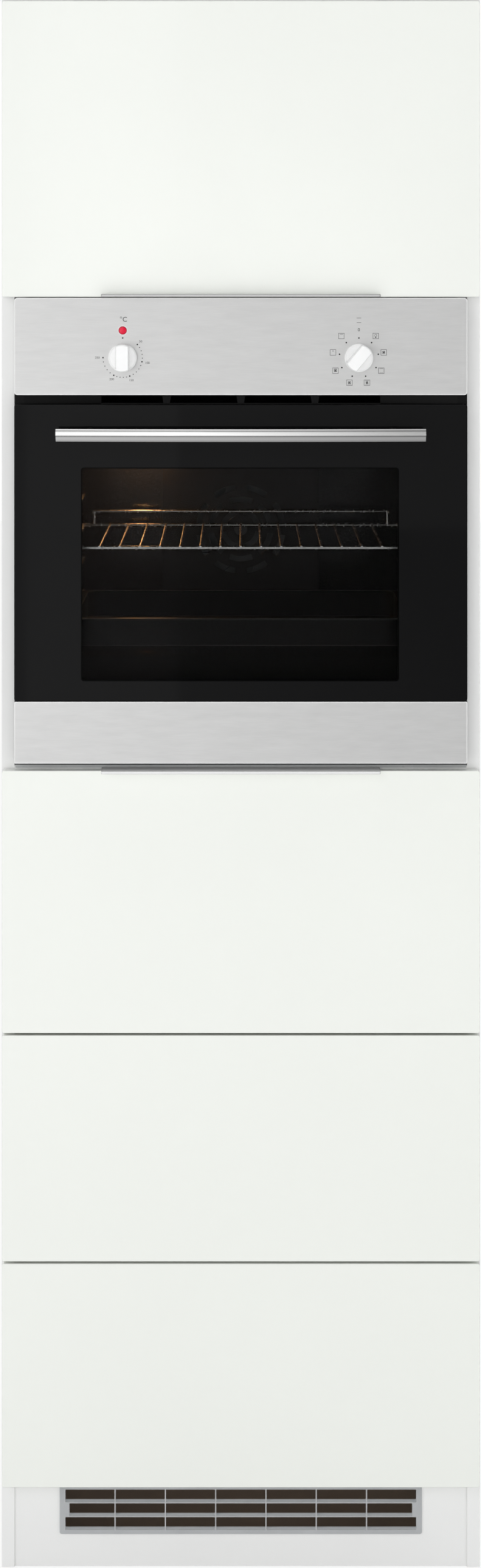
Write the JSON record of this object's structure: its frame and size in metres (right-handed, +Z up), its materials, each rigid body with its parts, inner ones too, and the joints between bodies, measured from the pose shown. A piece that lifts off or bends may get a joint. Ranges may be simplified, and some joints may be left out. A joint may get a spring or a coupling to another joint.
{
  "type": "tall oven housing unit",
  "caption": "Tall kitchen housing unit: built-in oven with a drop-down door between a lift-up flap and gloss pull-outs, over a vented plinth.",
  "frame": {"origin": "on the floor, under the middle of the unit's box", "axes": "+Z up, the fronts face -Y, +X to the right of someone facing the fronts"},
  "size_m": [0.6, 0.628, 1.965],
  "materials": {
    "white_board": "white melamine, satin",
    "back_board": "white-lacquered fibreboard",
    "gloss_front": "greenish-white high-gloss lacquer",
    "brushed_steel": "horizontally brushed stainless steel",
    "handle_metal": "satin anodised",
    "steel_parts": "zinc-plated sheet",
    "box_steel": "grey powder coat",
    "door_glass": "black glass with a clear window",
    "inner_glass": "clear float glass",
    "enamel": "dark speckled enamel",
    "casing_steel": "galvanised sheet",
    "black_plastic": "black, matt",
    "grille_plastic": "grey, matt",
    "knob_plastic": "white, gloss",
    "signal_red": "red, translucent look",
    "chrome_wire": "bright plated wire",
    "lamp_glass": "clear lamp glass",
    "seal_rubber": "dark grey silicone",
    "strut_black": "black lacquer"
  },
  "bodies": {
    "cabinet": {"side_left": "white_board", "side_right": "white_board", "top_panel": "white_board", "bottom_panel": "white_board", "oven_shelf": "white_board", "upper_shelf": "white_board", "back_panels": "back_board", "wall_rail": "white_board", "plinth_panel": "white_board", "plinth_grille": "grille_plastic", "flap_hinge_arms": "steel_parts", "strut_feet": "steel_parts", "cabinet_runners": "steel_parts", "oven_casing": "casing_steel", "oven_cavity": "enamel", "door_seal": "seal_rubber", "side_racks": "chrome_wire", "wire_rack": "chrome_wire", "baking_tray": "enamel", "fan_cover": "enamel", "fan_motor": "strut_black", "grill_element": "strut_black", "oven_lamp": "lamp_glass", "control_panel": "brushed_steel", "indicator_lamp": "signal_red", "switch_bodies": "black_plastic", "air_slot_trim": "black_plastic", "door_hinge_arms": "steel_parts"},
    "flap": {"flap_front": "gloss_front", "flap_handle": "handle_metal", "flap_hinge_leaves": "steel_parts", "strut_brackets": "steel_parts"},
    "strut_cylinder": {"strut_cylinders": "strut_black"},
    "strut_rod": {"strut_rods": "chrome_wire"},
    "oven_door": {"door_glass": "door_glass", "door_inner_glass": "inner_glass", "door_liner": "enamel", "door_strip": "brushed_steel", "door_handle_bar": "handle_metal", "door_handle_posts": "handle_metal", "door_hinge_brackets": "steel_parts"},
    "temperature_knob": {"temperature_knob": "knob_plastic"},
    "function_knob": {"function_knob": "knob_plastic"},
    "fan": {"fan_impeller": "steel_parts"},
    "drawer_1": {"drawer_1_front": "gloss_front", "drawer_1_sides": "box_steel", "drawer_1_bottom": "white_board", "drawer_1_back": "white_board", "drawer_1_handle": "handle_metal"},
    "drawer_1_slide": {"drawer_1_slides": "steel_parts"},
    "drawer_2": {"drawer_2_front": "gloss_front", "drawer_2_sides": "box_steel", "drawer_2_bottom": "white_board", "drawer_2_back": "white_board"},
    "drawer_2_slide": {"drawer_2_slides": "steel_parts"},
    "drawer_3": {"drawer_3_front": "gloss_front", "drawer_3_sides": "box_steel", "drawer_3_bottom": "white_board", "drawer_3_back": "white_board"},
    "drawer_3_slide": {"drawer_3_slides": "steel_parts"}
  },
  "joints": [
    {"name": "flap_lift", "type": "hinge", "parent": "cabinet", "child": "flap", "pos_m": [0, -0.252, 1.9583], "axis": [-1, 0, 0], "range_deg": [0, 90]},
    {"name": "strut_swing", "type": "hinge", "parent": "cabinet", "child": "strut_cylinder", "pos_m": [0, -0.046, 1.78], "axis": [1, 0, 0], "range_deg": [0, 3.02]},
    {"name": "strut_extend", "type": "slide", "parent": "strut_cylinder", "child": "strut_rod", "axis": [0, -0.8117, 0.5841], "range_m": [0, 0.06481]},
    {"name": "oven_door_swing", "type": "hinge", "parent": "cabinet", "child": "oven_door", "pos_m": [0, -0.254, 1.0326], "axis": [1, 0, 0], "range_deg": [0, 90]},
    {"name": "temperature_turn", "type": "hinge", "parent": "cabinet", "child": "temperature_knob", "pos_m": [-0.1475, -0.268, 1.517], "axis": [0, 1, 0], "range_deg": [0, 270]},
    {"name": "function_turn", "type": "hinge", "parent": "cabinet", "child": "function_knob", "pos_m": [0.1475, -0.268, 1.517], "axis": [0, 1, 0], "continuous": true},
    {"name": "fan_spin", "type": "hinge", "parent": "cabinet", "child": "fan", "pos_m": [0, 0.206, 1.266], "axis": [0, 1, 0], "continuous": true},
    {"name": "drawer_1_pull", "type": "slide", "parent": "cabinet", "child": "drawer_1", "axis": [0, -1, 0], "range_m": [0, 0.45]},
    {"name": "drawer_1_runner", "type": "slide", "parent": "cabinet", "child": "drawer_1_slide", "axis": [0, -1, 0], "range_m": [0, 0.225]},
    {"name": "drawer_2_pull", "type": "slide", "parent": "cabinet", "child": "drawer_2", "axis": [0, -1, 0], "range_m": [0, 0.45]},
    {"name": "drawer_2_runner", "type": "slide", "parent": "cabinet", "child": "drawer_2_slide", "axis": [0, -1, 0], "range_m": [0, 0.225]},
    {"name": "drawer_3_pull", "type": "slide", "parent": "cabinet", "child": "drawer_3", "axis": [0, -1, 0], "range_m": [0, 0.45]},
    {"name": "drawer_3_runner", "type": "slide", "parent": "cabinet", "child": "drawer_3_slide", "axis": [0, -1, 0], "range_m": [0, 0.225]}
  ],
  "couplings": [
    {"joint": "strut_swing", "follows": "flap_lift", "ratio": 0.032994},
    {"joint": "strut_extend", "follows": "flap_lift", "m_per_rad": 0.04107},
    {"joint": "drawer_1_runner", "follows": "drawer_1_pull", "ratio": 0.5},
    {"joint": "drawer_2_runner", "follows": "drawer_2_pull", "ratio": 0.5},
    {"joint": "drawer_3_runner", "follows": "drawer_3_pull", "ratio": 0.5}
  ]
}
